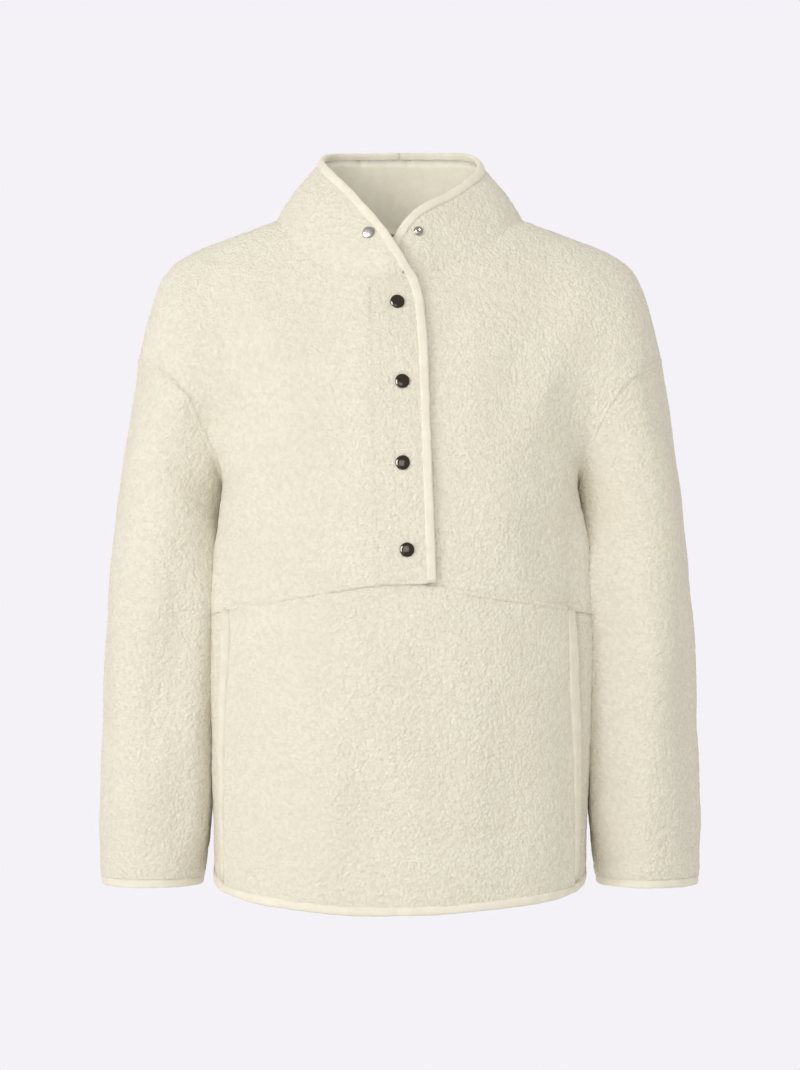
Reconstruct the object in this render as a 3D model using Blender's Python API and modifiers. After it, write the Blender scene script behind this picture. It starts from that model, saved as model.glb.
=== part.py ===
import bpy
import bmesh
import numpy as np
from math import radians
from mathutils import Matrix, Vector

# A fleece pullover with a half snap placket, filled out as worn and hollow inside.
# Lengths are millimetres until a mesh is made. +X is the wearer's left, -Y the front, +Z up.
# The origin is the middle of the neck base, between the two neck points of the shoulders.

MM = 0.001
FLEECE = 4.0           # thickness of the fleece with its pile
PLACKET_THICK = 5.0    # the band is two layers
FACING = 1.2           # smooth inner side of the collar
COLLAR_FLEECE = 3.5
POCKET_LAYER = 2.4
SEAM = 0.3             # gap between pieces at a seam
LAP = 6.2              # how far the lapping front stands off the one under it
ARM_CLEARANCE = 3.0    # between the body and a hanging sleeve
BINDING = 9.5          # width of the bindings
MOUTH_BINDING = 7.5
HEM_SIDE_Z = -596.0    # where the fleece ends, above its binding
HEM_FRONT_Z = -629.5
POCKET_SEAM_Z = -334.0
POCKET_SEAM_SIDE_Z = -378.0
UNDERARM_Z = -252.0
SLEEVE_JOIN_Z = -318.0 # down from here the sleeve's rows are level
CUFF_Z = -611.0
NECK_HALF = 118.0
NECK_Z = 9.0
NECK_FRONT_Z = -53.0
NECK_BACK_Z = 3.0
SHOULDER_SLOPE = 0.37
ROOF_FRONT = 36.0      # radius of the shoulder over to the front
ROOF_BACK = 50.0
BODY_POWER = 2.6
ARM_POWER = 2.2
SPINE_X = 75.0         # rays to the body's sides start this far from the middle
MOUTH_LIFT = 1.2       # how far a pocket's mouth stands proud of the side strip
POCKET_GAP = 0.6       # between the two layers of a pocket
SNAP_ACROSS = 13.4
STUD_ACROSS = 8.6

COLUMNS = 14           # from the middle of a front to its outer seam
BACK_COLUMNS = 12
LOWER_ROWS = 7
UPPER_ROWS = 4
RING_ROWS = 9
SHOULDER_ROWS = 6
SLEEVE_ROWS = 16
SLEEVE_JOIN = 6        # rows over which a sleeve leaves the shape of its armhole
COLLAR_ROWS = 3
MOUTH_COLUMN = COLUMNS - 4   # the pocket's mouth is on this column
LAYER_COLUMN = 5             # where the pocket's inner layer starts
RELAX_ROUNDS = 8             # how often the upper rows are evened out

# rows of a front or back from the hem to the neck
HEM_ROW = 0
POCKET_ROW = LOWER_ROWS
UNDERARM_ROW = LOWER_ROWS + UPPER_ROWS
SHOULDER_ROW = UNDERARM_ROW + RING_ROWS
NECK_ROW = SHOULDER_ROW + SHOULDER_ROWS
LOWER = range(HEM_ROW, POCKET_ROW + 1)
UPPER = range(POCKET_ROW, NECK_ROW + 1)


for old in list(bpy.data.objects):
    bpy.data.objects.remove(old, do_unlink=True)
collection = bpy.data.collections.new("fleece_sweatshirt")
bpy.context.scene.collection.children.link(collection)


# one row for each section, read by the name of its column
def section_table(names, rows):
    return dict(zip(names.split(), np.array(rows, float).T))


# the value of a named column on a smooth curve through the table's rows
def read(table, name, at):
    knots = table[next(iter(table))]
    values = table[name]
    slopes = np.gradient(values, knots)
    at = np.asarray(at, float)
    i = np.clip(np.searchsorted(knots, at) - 1, 0, len(knots) - 2)
    span = knots[i + 1] - knots[i]
    t = np.clip((at - knots[i]) / span, 0, 1)
    start = (1 + 2 * t) * (1 - t) ** 2 * values[i] + t * (1 - t) ** 2 * span * slopes[i]
    end = t * t * (3 - 2 * t) * values[i + 1] + t * t * (t - 1) * span * slopes[i + 1]
    return start + end


BODY = section_table("z half front back", (
    (-700, 175, 130, 122),
    (-600, 177, 133, 124),
    (-480, 179, 134, 123),
    (-340, 180, 133, 121),
    (-230, 179, 130, 120),
    (-120, 178, 124, 117),
    (60, 174, 112, 110)))

SLEEVE = section_table("z outer inner front back", (
    (-680, 283, 189, 52, 38),
    (-610, 285, 184, 56, 42),
    (-560, 286, 178, 60, 47),
    (-484, 283, 174, 66, 56),
    (-393, 280, 170, 72, 65),
    (-302, 273, 165, 77, 73),
    (-226, 264, 160, 78, 77),
    (-165, 255, 152, 77, 77),
    (-105, 245, 146, 73, 73),
    (-75, 237, 142, 70, 70),
    (-30, 224, 134, 64, 64),
    (40, 214, 124, 60, 60)))

# how far the body and the arm flow into one another in front of and behind the armpit
MERGE = section_table("z reach", (
    (-300, 8), (-240, 14), (-200, 26), (-150, 40), (-100, 60), (0, 70)))

# the armhole seam, from the underarm over the front to the outer end of the shoulder
ARMHOLE = section_table("step angle z", (
    (0, 0, -252), (1, 24, -249), (2, 44, -238), (3, 58, -219), (4, 70, -195), (5, 82, -170),
    (6, 95, -150), (7, 112, -137), (8, 133, -130), (9, 156, -126), (10, 180, -124)))

# where rays to the shoulder seam start, and how steeply they rise
SHOULDER = section_table("step x z rise", (
    (0, 206, -110, 0), (1, 202, -88, 14), (2, 194, -76, 44), (3, 184, -68, 66),
    (4, 166, -64, 80), (5, 142, -62, 87), (6, NECK_HALF, -60, 90)))

# edges of the placket band, top to bottom
PLACKET = section_table("z seam edge", (
    (-340, -18, 24.5), (-240, -21.5, 20.5), (-147, -24.5, 17), (-90, -26, 14),
    (-68, -26.6, 11), (-53, -27, 6.5)))

# the mouth of a pocket, as shares of the way from the middle to the side seam
MOUTH = section_table("z share", (
    (-620, 0.725), (-541, 0.713), (-460, 0.70), (-377, 0.684)))

# where the collar's fleece meets its binding, from the centre back round the side to the front end
COLLAR_RIGHT = section_table("step x y z", (
    (0, 0, 65, 70.5), (1, -38, 61, 69.5), (2, -68, 45, 68), (3, -80.5, 20, 63),
    (4, -73, -16, 51), (5, -48.5, -51, 24), (6, -18, -82, -14), (7, 2, -91.5, -46)))
COLLAR_LEFT = section_table("step x y z", (
    (0, 0, 65, 70.5), (1, 38, 61, 69.5), (2, 68, 45, 67.5), (3, 82, 16, 59),
    (4, 76, -14, 46), (5, 50, -42, 25.5), (6, 14, -67, 3), (7, -14, -77.5, -47)))
COLLAR_SIDE_STEP = 3.15     # the step above the neck point of the shoulder
COLLAR_BOW = 0.05           # how far its side swells, as a share of its height
COLLAR_END = {"right": 1.5, "left": 5.0}    # how far its front ends are drawn back at the neck seam

# drape: each trough (minus) or ridge (plus) runs from one height and place across to another
FOLDS = section_table("x1 z1 x2 z2 width depth front", (
    (-188, -58, -146, -118, 15, -6, 1),
    (-158, -46, -118, -112, 16, 3, 1),
    (140, -82, 106, -168, 17, -5.5, 1),
    (170, -60, 130, -150, 17, 5, 1),
    (96, -262, 142, -372, 17, 5.5, 1),
    (122, -288, 140, -345, 15, -6, 1),
    (106, -360, 128, -400, 16, -5, 1),
    (104, -480, 96, -610, 18, -5, 1),
    (-60, -470, -78, -610, 22, 3.5, 1),
    (-150, -296, -112, -345, 18, -4, 1),
    (-182, -190, -126, -150, 16, -5, 1),
    (-30, -420, 20, -570, 26, 3, 1),
    (-120, -70, -60, -190, 20, -4, 0),
    (120, -70, 60, -190, 20, -4, 0),
    (-90, -300, -120, -580, 24, 5, 0),
    (90, -320, 112, -590, 24, 5, 0),
    (0, -220, 8, -620, 26, -4.5, 0),
    (-165, -290, -60, -340, 20, -5, 0),
    (165, -300, 70, -350, 20, -5, 0)))

# drape of the sleeves: the angle runs from the inner side over the front to the outer side
SLEEVE_FOLDS = section_table("side angle1 z1 angle2 z2 width depth", (
    (-1, 132, -160, 64, -252, 13, -6.5),
    (-1, 120, -246, 58, -306, 12, -6),
    (-1, 142, -212, 88, -266, 15, 4.5),
    (-1, 165, -160, 150, -210, 14, -4.5),
    (-1, 66, -330, 96, -480, 16, -4.5),
    (-1, 132, -330, 112, -570, 18, 4),
    (1, 126, -235, 100, -410, 18, 5.5),
    (1, 82, -150, 70, -360, 16, -5.5),
    (1, 102, -400, 86, -600, 17, 4.5),
    (1, 142, -180, 152, -310, 16, -4.5),
    (1, 134, -420, 142, -580, 16, -4.5),
    (-1, 230, -170, 300, -262, 15, -5),
    (1, 230, -170, 300, -262, 15, -5),
    (-1, 220, -300, 250, -540, 19, 4.5),
    (1, 220, -300, 250, -540, 19, 4.5),
    (-1, 250, -360, 290, -420, 17, -4.5),
    (1, 250, -360, 290, -420, 17, -4.5)))

SNAPS = section_table("x z", ((-2.8, -75.5), (1.9, -149.4), (2.4, -224), (6.4, -303.5)))
COLLAR_SNAP = (-30, -8.6)
COLLAR_STUD = (17.6, -6.6)


def smoothstep(low, high, value):
    t = np.clip((value - low) / (high - low), 0, 1)
    return t * t * (3 - 2 * t)


def unit(vectors):
    return vectors / np.maximum(np.linalg.norm(vectors, axis=-1, keepdims=True), 1e-9)


def smooth_min(a, b, reach):
    overlap = np.maximum(reach - np.abs(a - b), 0) / reach
    return np.minimum(a, b) - overlap ** 2 * reach / 4


def smooth_max(a, b, reach):
    return -smooth_min(-a, -b, reach)


# distance to an upright tube whose section is a soft rectangle, minus inside
def tube_distance(x, y, half, front, back, power):
    depth = np.where(y < 0, front, back)
    across = np.abs(x) / half
    along = np.abs(y) / depth
    ratio = np.maximum((across ** power + along ** power) ** (1 / power), 1e-4)
    slope_x = (across / ratio) ** (power - 1) / half
    slope_y = (along / ratio) ** (power - 1) / depth
    return (ratio - 1) / np.maximum(np.hypot(slope_x, slope_y), 0.004)


def body_distance(p):
    z = p[..., 2]
    return tube_distance(p[..., 0], p[..., 1], read(BODY, "half", z), read(BODY, "front", z),
                         read(BODY, "back", z), BODY_POWER)


def sleeve_middle(z):
    return (read(SLEEVE, "outer", z) + read(SLEEVE, "inner", z)) / 2


# the middle of the sleeve at each height, and level rays out of it
def sleeve_axis(z):
    return np.stack([sleeve_middle(z), 0 * z, z], -1)


def sleeve_ways(angle, front=1):
    angle = np.radians(angle)
    return np.stack([-np.cos(angle), front * -np.sin(angle), 0 * angle], -1)


def sleeve_distance(p):
    z = p[..., 2]
    half = (read(SLEEVE, "outer", z) - read(SLEEVE, "inner", z)) / 2
    return tube_distance(p[..., 0] - sleeve_middle(z), p[..., 1], half, read(SLEEVE, "front", z),
                         read(SLEEVE, "back", z), ARM_POWER)


# the slope of the shoulders, rounded over to the front and the back
def roof_distance(p):
    radius = np.where(p[..., 1] < 0, ROOF_FRONT, ROOF_BACK)
    fall = p[..., 1] / radius
    height = NECK_Z - SHOULDER_SLOPE * (p[..., 0] - NECK_HALF) - p[..., 1] * fall / 2
    return (p[..., 2] - height) / np.sqrt(1 + SHOULDER_SLOPE ** 2 + fall ** 2)


def joined_above_armpit(p, apart):
    z = p[..., 2]
    merged = smooth_min(body_distance(p), sleeve_distance(p), read(MERGE, "reach", z))
    share = smoothstep(-236, -204, z)
    return smooth_max(apart * (1 - share) + merged * share, roof_distance(p), 18)


# the body's outer surface, pressed in where a sleeve hangs against it
def body_surface(p):
    return joined_above_armpit(p, smooth_max(body_distance(p), ARM_CLEARANCE - sleeve_distance(p), 14))


def sleeve_surface(p):
    return joined_above_armpit(p, sleeve_distance(p) - ARM_CLEARANCE / 2)


# where rays from inside first leave a surface
def cast(surface, starts, ways):
    ways = unit(ways)
    near = np.zeros(starts.shape[:-1])
    far = near.copy()
    going = np.ones(near.shape, bool)
    for _ in range(64):
        far = np.where(going, near + 5, far)
        outside = surface(starts + ways * far[..., None]) > 0
        near = np.where(going & ~outside, far, near)
        going = going & ~outside
    for _ in range(24):
        middle = (near + far) / 2
        outside = surface(starts + ways * middle[..., None]) > 0
        far = np.where(outside, middle, far)
        near = np.where(outside, near, middle)
    return starts + ways * ((near + far) / 2)[..., None]


def slope_of(surface, p):
    step = 0.5
    parts = []
    for axis in np.eye(3):
        parts.append(surface(p + axis * step) - surface(p - axis * step))
    return unit(np.stack(parts, axis=-1))


# The grid below is for the wearer's left half; the other half is its mirror image.

def armhole_ring(front):
    steps = np.linspace(0, 10, RING_ROWS + 1)
    ways = sleeve_ways(read(ARMHOLE, "angle", steps), front)
    points = cast(sleeve_surface, sleeve_axis(read(ARMHOLE, "z", steps)), ways)
    under = np.array((0, 0, -0.5)) * (1 - smoothstep(0, 4, steps))[:, None]
    normals = unit(slope_of(body_surface, points) + slope_of(sleeve_surface, points) + under)
    return points, normals


# the outer seam of a front (1) or back (-1) panel: side seam, armhole seam, shoulder seam
def outer_seam(front):
    side_z = np.concatenate([np.linspace(HEM_SIDE_Z, POCKET_SEAM_SIDE_Z, LOWER_ROWS + 1)[:-1],
                             np.linspace(POCKET_SEAM_SIDE_Z, UNDERARM_Z, UPPER_ROWS + 1)[:-1]])
    side_start = np.stack([0 * side_z + SPINE_X, 0 * side_z, side_z], -1)
    side = cast(body_surface, side_start, np.broadcast_to((1.0, 0, 0), side_start.shape))
    ring, ring_normals = armhole_ring(front)
    reach = smoothstep(0, RING_ROWS, np.arange(RING_ROWS + 1.0))
    ring_start = np.stack([SPINE_X + 12 + 115 * reach, 0 * reach, ring[:, 2]], -1)
    steps = np.linspace(0, 6, SHOULDER_ROWS + 1)[1:]
    rise = np.radians(read(SHOULDER, "rise", steps))
    top_start = np.stack([read(SHOULDER, "x", steps), 0 * steps, read(SHOULDER, "z", steps)], -1)
    top = cast(body_surface, top_start, np.stack([np.cos(rise), 0 * rise, np.sin(rise)], -1))
    seam = np.concatenate([side, ring, top])
    starts = np.concatenate([side_start, ring_start, top_start])
    return seam, starts, ring_normals


def middle_heights(front):
    neck = NECK_FRONT_Z if front > 0 else NECK_BACK_Z
    below_neck = -118.0 if front > 0 else -86.0
    return np.concatenate([np.linspace(HEM_FRONT_Z, POCKET_SEAM_Z, LOWER_ROWS + 1)[:-1],
                           np.linspace(POCKET_SEAM_Z, UNDERARM_Z, UPPER_ROWS + 1)[:-1],
                           np.linspace(UNDERARM_Z, below_neck, RING_ROWS + 1)[:-1],
                           np.linspace(below_neck, neck, SHOULDER_ROWS + 1)])


# evens out the inner points of a grid's upper rows, which stay on the body
def relaxed(points, first_row):
    upper = points[first_row:]
    for _ in range(RELAX_ROUNDS):
        middle = (upper[:-2, 1:-1] + upper[2:, 1:-1] + upper[1:-1, :-2] + upper[1:-1, 2:]) / 4
        upper[1:-1, 1:-1] = middle - slope_of(body_surface, middle) * body_surface(middle)[..., None]
    return points


# points and normals of one half of a front or back, between its first x and the outer seam
def half_panel(front, first_x, shares, rows=None):
    seam, seam_start, ring_normals = outer_seam(front)
    rows = np.arange(len(seam)) if rows is None else np.array(rows)
    heights = middle_heights(front)[rows]
    u = np.stack([shares(z) for z in heights])[..., None]
    begin = np.array([(first_x(z), 0, z) for z in heights])[:, None]
    seam, seam_start = seam[rows][:, None], seam_start[rows][:, None]
    starts = begin + (seam_start - begin) * (1 - (1 - u) ** 1.55)
    power = np.interp(rows, (HEM_ROW, POCKET_ROW, UNDERARM_ROW, NECK_ROW), (2.6, 1.6, 1.2, 2))[:, None, None]
    arch = 26 * np.exp(-((rows - SHOULDER_ROW) / 2.4) ** 2)[:, None, None] * 9.5 * u ** 3 * (1 - u)
    starts[..., 2:] = begin[..., 2:] + (seam_start - begin)[..., 2:] * u ** power + arch
    turn = u ** 1.7
    ways = unit(np.array((0, -front, 0)) * (1 - turn) + unit(seam - seam_start) * turn)
    points = cast(body_surface, starts, ways)
    end = cast(body_surface, seam_start, seam - seam_start)
    points = points + (seam - end) * smoothstep(0.6, 1, u)
    if rows[-1] == NECK_ROW:
        points = relaxed(points, int(np.argmax(rows == POCKET_ROW + 1)))
    normals = slope_of(body_surface, points)
    if u[0, -1] == 1:
        for index, row in enumerate(rows):
            if UNDERARM_ROW <= row <= SHOULDER_ROW:
                normals[index, -1] = ring_normals[row - UNDERARM_ROW]
    return points, normals


# drape, in millimetres along the surface's normal
def body_relief(p):
    depth = np.zeros(p.shape[:-1])
    clear_of_arms = smoothstep(2, 26, np.abs(p[..., 1])) * smoothstep(0, 40, -600 - p[..., 2] + 640)
    for x1, z1, x2, z2, width, height, front in zip(*FOLDS.values()):
        along = np.array((x2 - x1, z2 - z1))
        length = np.linalg.norm(along)
        along = along / length
        px, pz = p[..., 0] - x1, p[..., 2] - z1
        run = px * along[0] + pz * along[1]
        off = px * -along[1] + pz * along[0]
        past = np.maximum(np.maximum(-run, run - length), 0)
        same_side = (p[..., 1] < 0) == (front > 0)
        fade = np.exp(-(past / (width * 1.5)) ** 2)
        depth = depth + same_side * height * np.exp(-(off / width) ** 2) * fade
    near_neck = smoothstep(0, 30, -np.abs(p[..., 2] - NECK_Z) + 60)
    return depth * clear_of_arms * (1 - 0.6 * near_neck * (np.abs(p[..., 0]) < 100))


def sleeve_relief(p, angle, side):
    depth = np.zeros(p.shape[:-1])
    z = p[..., 2]
    for fold_side, a1, z1, a2, z2, width, height in zip(*SLEEVE_FOLDS.values()):
        if fold_side != side:
            continue
        share = np.clip((z - z1) / (z2 - z1), -0.5, 1.5)
        off = (angle - (a1 + (a2 - a1) * share)) * 0.95
        slant = np.hypot(1, (a2 - a1) * 0.95 / (z2 - z1))
        past = np.maximum(np.maximum(share - 1, -share), 0) * abs(z2 - z1)
        depth = depth + height * np.exp(-(off / width / slant) ** 2) * np.exp(-(past / width / 1.5) ** 2)
    outer_side = smoothstep(20, 50, np.minimum(angle, 360 - angle))
    return depth * outer_side


# draws the named edges of a grid back from their seams, square to the edge and within the cloth
def trimmed(points, normals, edges, by=SEAM * 0.7):
    shift = np.zeros_like(points)
    ends = {"first_row": ((0,), (1,)), "last_row": ((-1,), (-2,)),
            "first_column": ((slice(None), 0), (slice(None), 1)),
            "last_column": ((slice(None), -1), (slice(None), -2))}
    for edge in edges:
        rim, next_in = ends[edge]
        inward = unit(np.cross(np.gradient(points[rim], axis=0), normals[rim]))
        inward = inward * np.sign(np.sum(inward * (points[next_in] - points[rim])))
        shift[rim] = shift[rim] + inward * by
    return points + shift


def mirrored(points):
    return points * np.array((-1.0, 1, 1))


def make_object(name, points, faces, material, sharp=40):
    mesh = bpy.data.meshes.new(name)
    mesh.from_pydata([tuple(p) for p in np.asarray(points) * MM], [], faces)
    work = bmesh.new()
    work.from_mesh(mesh)
    bmesh.ops.recalc_face_normals(work, faces=work.faces)
    work.to_mesh(mesh)
    work.free()
    mesh.shade_smooth()
    mesh.set_sharp_from_angle(angle=radians(sharp))
    obj = bpy.data.objects.new(name, mesh)
    obj.data.materials.append(material)
    collection.objects.link(obj)
    return obj


# the shorter diagonal, so that pieces made from the same points are split alike
def split_quad(a, b, c, d, points):
    if np.linalg.norm(points[a] - points[c]) < np.linalg.norm(points[b] - points[d]):
        return (a, b, c), (a, c, d)
    return (b, c, d), (b, d, a)


# A closed wall through a grid of points: its outer side is moved out by lift, and edges are drawn
# back from their seams. Around joins the last column to the first. Gives back the outer points.
def make_wall(name, points, normals, thickness, material, lift=0.0, edges=(), around=False):
    rows, columns = points.shape[:2]
    lift = np.broadcast_to(np.asarray(lift, float), points.shape[:-1])[..., None]
    drawn = trimmed(points, normals, edges) + normals * lift
    solid = np.concatenate([drawn.reshape(-1, 3), (drawn - normals * thickness).reshape(-1, 3)])
    flat = points.reshape(-1, 3)
    back = rows * columns
    last = columns if around else columns - 1
    faces = []
    for i in range(rows - 1):
        for j in range(last):
            k = (j + 1) % columns
            corners = (i * columns + j, i * columns + k, (i + 1) * columns + k, (i + 1) * columns + j)
            for p, q, r in split_quad(*corners, flat):
                faces.append((p, q, r))
                faces.append((back + r, back + q, back + p))
    rims = []
    for j in range(last):
        k = (j + 1) % columns
        rims.append((k, j))
        rims.append(((rows - 1) * columns + j, (rows - 1) * columns + k))
    if not around:
        for i in range(rows - 1):
            rims.append((i * columns, (i + 1) * columns))
            rims.append(((i + 2) * columns - 1, (i + 1) * columns - 1))
    for p, q in rims:
        if flat[p, 2] > flat[q, 2]:
            faces.extend([(p, q, back + q), (p, back + q, back + p)])
        else:
            faces.extend([(q, back + q, back + p), (q, back + p, p)])
    make_object(name, solid, faces, material)
    return points + normals * lift


# a soft rectangular bar along an edge; out points away from the cloth that it binds
def make_binding(name, path, normals, out, material, around=False, width=BINDING, top=0.9, bottom=-4.9):
    sides = 8
    angle = np.arange(sides) * 2 * np.pi / sides + np.pi / sides
    round_x = np.sign(np.cos(angle)) * np.abs(np.cos(angle)) ** 0.6
    round_y = np.sign(np.sin(angle)) * np.abs(np.sin(angle)) ** 0.6
    across = SEAM + width / 2 + round_x * width / 2
    height = (top + bottom) / 2 + round_y * (top - bottom) / 2
    rings = (path[:, None] + out[:, None] * across[None, :, None]
             + normals[:, None] * height[None, :, None])
    count = len(path)
    faces = []
    for i in range(count if around else count - 1):
        k = (i + 1) % count
        for j in range(sides):
            m = (j + 1) % sides
            faces.append((i * sides + j, i * sides + m, k * sides + m, k * sides + j))
    if not around:
        faces.append(tuple(range(sides)))
        faces.append(tuple((count - 1) * sides + j for j in reversed(range(sides))))
    return make_object(name, rings.reshape(-1, 3), faces, material)


def material_named(name, colour, roughness, metallic=0.0):
    material = bpy.data.materials.new(name)
    material.use_nodes = True
    shader = material.node_tree.nodes["Principled BSDF"]
    shader.inputs["Base Color"].default_value = (*colour, 1)
    shader.inputs["Roughness"].default_value = roughness
    shader.inputs["Metallic"].default_value = metallic
    return material


fleece = material_named("fleece", (0.82, 0.78, 0.66), 0.95)
smooth_knit = material_named("smooth_knit", (0.84, 0.80, 0.70), 0.8)
nickel = material_named("nickel", (0.30, 0.29, 0.28), 0.22, 1.0)


def even_shares(z):
    return np.linspace(0, 1, BACK_COLUMNS + 1)


# shares of the way from the middle to the side, with one column on the pocket's mouth
def front_shares(z):
    mouth = float(read(MOUTH, "share", z))
    beside = np.linspace(mouth, 1, COLUMNS - MOUTH_COLUMN + 1)[1:]
    return np.concatenate([np.linspace(0, mouth, MOUTH_COLUMN + 1), beside])


def lower_shares(z):
    return front_shares(z)[:MOUTH_COLUMN + 1]


def layer_shares(z):
    return front_shares(z)[LAYER_COLUMN:]


# the first x of the front that laps over, on its mirrored half, and of the one under it
def over_start(z):
    return -placket_seam(z)


def under_start(z):
    return placket_seam(z) + 2.5


def placket_seam(z):
    return float(read(PLACKET, "seam", z))


def placket_edge(z):
    return float(read(PLACKET, "edge", z))


# the lapping front rises at the placket by half of the stand-off, and the one under it sinks as much
def over_lift(p):
    return LAP / 2 * smoothstep(-58, -28, p[..., 0])


def under_lift(p):
    return -LAP / 2 * (1 - smoothstep(42, 70, p[..., 0]))


def both_halves(points):
    return np.concatenate([mirrored(points)[:, :0:-1], points], axis=1)


def draped(points, normals):
    return points + normals * body_relief(points)[..., None]


def make_back():
    points, normals = half_panel(-1, lambda z: 0.0, even_shares)
    points, normals = both_halves(points), both_halves(normals)
    outer = make_wall("back", draped(points, normals), normals, FLEECE, fleece,
                      edges=("first_column", "last_column", "last_row"))
    return outer, normals


def make_upper_front(side):
    first = over_start if side == "right" else under_start
    points, normals = half_panel(1, first, front_shares, UPPER)
    if side == "right":
        points, normals = mirrored(points), mirrored(normals)
    points = draped(points, normals)
    lift = over_lift(points) if side == "right" else under_lift(points)
    edges = ("first_row", "last_row", "last_column") + (("first_column",) if side == "right" else ())
    outer = make_wall("front_upper_" + side, points, normals, FLEECE, fleece, lift, edges)
    return outer, normals


def make_placket():
    heights = middle_heights(1)[POCKET_ROW:]
    spans = 4
    starts = np.stack([np.stack([np.linspace(placket_seam(z), placket_edge(z), spans + 1),
                                 np.zeros(spans + 1), np.full(spans + 1, z)], -1) for z in heights])
    points = cast(body_surface, starts, np.broadcast_to((0, -1.0, 0), starts.shape))
    normals = slope_of(body_surface, points)
    outer = make_wall("placket", draped(points, normals), normals, PLACKET_THICK, fleece, LAP / 2,
                      ("first_row", "last_row", "first_column"))
    return outer, normals


def make_lower_front():
    right, right_normals = half_panel(1, over_start, lower_shares, LOWER)
    left, left_normals = half_panel(1, under_start, lower_shares, LOWER)
    points = np.concatenate([mirrored(right)[:, ::-1], left], axis=1)
    normals = np.concatenate([mirrored(right_normals)[:, ::-1], left_normals], axis=1)
    from_mouth = np.minimum(np.arange(points.shape[1]), np.arange(points.shape[1])[::-1])
    lift = np.broadcast_to((1 - smoothstep(0, 4, from_mouth)) * MOUTH_LIFT, points.shape[:2])
    outer = make_wall("front_lower", draped(points, normals), normals, FLEECE, fleece, lift, ("last_row",))
    return outer, normals


def make_pocket_layer(side):
    points, normals = half_panel(1, over_start if side == "right" else under_start, layer_shares, LOWER)
    if side == "right":
        points, normals = mirrored(points), mirrored(normals)
    points = draped(points, normals)
    step = np.arange(points.shape[1])
    mouth = MOUTH_COLUMN - LAYER_COLUMN
    under = smoothstep(1, mouth, step) * MOUTH_LIFT - FLEECE - POCKET_GAP
    lift = np.where(step <= mouth, under, 0.0)
    make_wall("pocket_layer_" + side, points, normals, POCKET_LAYER, fleece, lift, ("last_row", "last_column"))


def make_hem_binding():
    right, right_normals = half_panel(1, over_start, front_shares, range(2))
    left, left_normals = half_panel(1, under_start, front_shares, range(2))
    back, back_normals = half_panel(-1, lambda z: 0.0, even_shares, range(2))

    def around(over, under, behind):
        behind_right = mirrored(behind)
        return np.concatenate([under, behind[:, -2::-1], behind_right[:, 1:], mirrored(over)[:, -2::-1]], axis=1)

    ring = around(right, left, back)
    normals = around(right_normals, left_normals, back_normals)
    ring = draped(ring, normals)
    normals = normals[0]
    out = unit(ring[0] - ring[1])
    out = unit(out - normals * (out * normals).sum(-1, keepdims=True))
    make_binding("hem_binding", ring[0], normals, out, smooth_knit, around=True, bottom=-6.6, top=1.4)


# out is square to the edge and to the cloth; sign picks the side
def edge_out(path, normals, sign):
    along = unit(np.gradient(path, axis=0))
    return unit(np.cross(along, normals)) * sign


def make_pocket_binding(side, outer, normals):
    column = 0 if side == "right" else -1
    path, outward = outer[:, column].copy(), normals[:, column]
    out = edge_out(path, outward, -1 if side == "right" else 1)
    path[0] = path[0] + unit(path[1] - path[0]) * 5
    path[-1] = path[-1] + unit(path[-2] - path[-1]) * 1.5
    make_binding("pocket_binding_" + side, path, outward, out, smooth_knit,
                 width=MOUTH_BINDING, top=0.9, bottom=-3.4)


def grid_normals(points):
    down = np.gradient(points, axis=0)
    along = np.gradient(points, axis=1)
    return unit(np.cross(down, along))


# the neck seam of one half, from the centre back to the front end
def neck_seam(side):
    if side == "right":
        top = [back_outer[-1][BACK_COLUMNS::-1], right_outer[-1][-2::-1], placket_outer[-1][1:]]
        turned = [back_normals[-1][BACK_COLUMNS::-1], right_normals[-1][-2::-1], placket_normals[-1][1:]]
    else:
        top = [back_outer[-1][BACK_COLUMNS:], left_outer[-1][-2::-1]]
        turned = [back_normals[-1][BACK_COLUMNS:], left_normals[-1][-2::-1]]
    return np.concatenate(top), np.concatenate(turned)


def collar_half(side):
    base, base_normals = neck_seam(side)
    table = COLLAR_RIGHT if side == "right" else COLLAR_LEFT
    lengths = np.linalg.norm(np.diff(base, axis=0), axis=1)
    run = np.concatenate([[0], np.cumsum(lengths)])
    step = np.interp(run, (0, run[BACK_COLUMNS], run[-1]), (0, COLLAR_SIDE_STEP, 7))
    top = np.stack([read(table, name, step) for name in "xyz"], -1)
    share = np.linspace(0, 1, COLLAR_ROWS + 1)[:, None, None]
    points = base + (top - base) * share
    height = np.linalg.norm(top - base, axis=1)[None, :, None]
    flat = grid_normals(points) * (1 if side == "left" else -1)
    points = points + flat * height * COLLAR_BOW * 4 * share * (1 - share)
    points[:, -1] = points[:, -1] + unit(points[:, -2] - points[:, -1]) * COLLAR_END[side] * (1 - share[:, 0])
    return points, base_normals


def make_collar():
    right, right_base = collar_half("right")
    left, left_base = collar_half("left")
    points = np.concatenate([right[:, :0:-1], left], axis=1)
    base_normals = np.concatenate([right_base[:0:-1], left_base])
    normals = grid_normals(points)
    for _ in range(2):
        normals[:, 1:-1] = unit(normals[:, :-2] + 2 * normals[:, 1:-1] + normals[:, 2:])
    for end, sound in ((0, 3), (1, 3), (2, 3), (-1, -4), (-2, -4), (-3, -4)):
        normals[:, end] = normals[:, sound]
    normals[0] = unit(normals[0] + base_normals)
    make_wall("collar", points, normals, COLLAR_FLEECE, fleece, edges=("first_row",))
    make_wall("collar_facing", points, normals, FACING, smooth_knit, -COLLAR_FLEECE - SEAM, ("first_row",))
    return points, normals


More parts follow.
